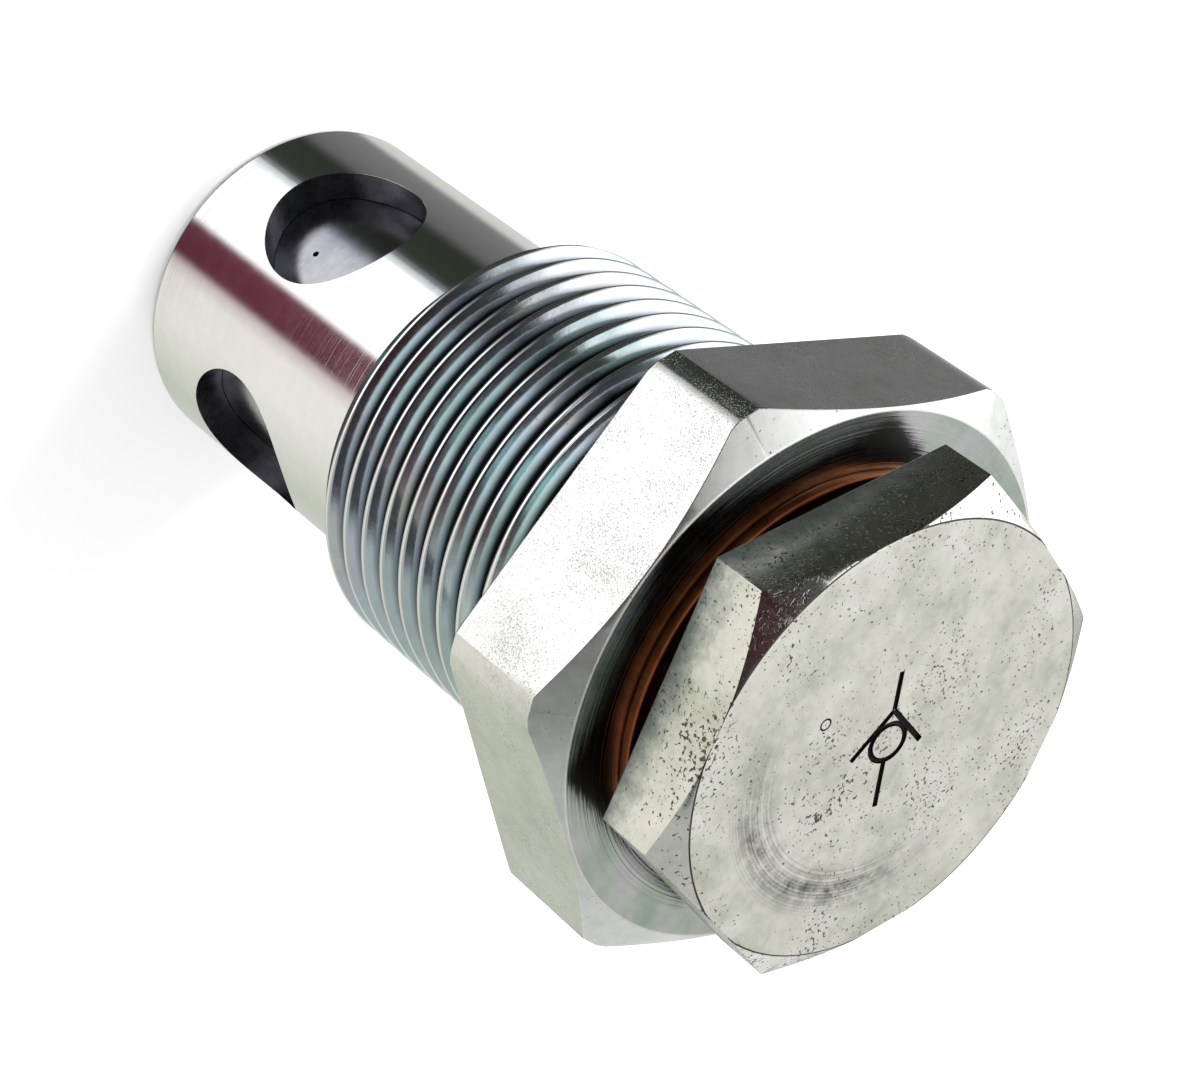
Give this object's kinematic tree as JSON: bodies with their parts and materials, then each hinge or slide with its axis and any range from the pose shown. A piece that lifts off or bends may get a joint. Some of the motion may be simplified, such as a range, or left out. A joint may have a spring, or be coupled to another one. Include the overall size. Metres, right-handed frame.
{
  "type": "cartridge valve",
  "caption": "Screw-in hydraulic cartridge valve: ported sleeve with a sprung cup poppet, pipe thread, hexagon body and hexagon end plug on a copper washer.",
  "frame": {"origin": "on the valve's axis, in the plane of the seating face under the body hexagon", "axes": "+Z along the valve's axis toward the end plug, so the nose points to -Z; +X through port 1"},
  "size_m": [0.0462, 0.0416, 0.0711],
  "materials": {
    "zinc_plated_body": "satin clear-blue zinc plate with faint iridescence",
    "zinc_plated_plug": "satin zinc plate, lightly speckled",
    "copper": "dull annealed copper",
    "ground_steel": "fine ground steel",
    "spring_wire": "drawn spring steel",
    "shim_steel": "rolled strip steel"
  },
  "bodies": {
    "housing": {"valve_body": "zinc_plated_body", "end_plug": "zinc_plated_plug", "copper_washer": "copper", "thin_shim": "shim_steel", "thick_shim": "shim_steel", "spring": "spring_wire"},
    "poppet": {"poppet": "ground_steel"}
  },
  "joints": [
    {"name": "poppet_lift", "type": "slide", "parent": "housing", "child": "poppet", "axis": [0, 0, 1], "range_m": [0, 0.017], "stiffness_N_per_m": 1600, "springref_m": -0.0213, "deforming": ["spring"]}
  ]
}
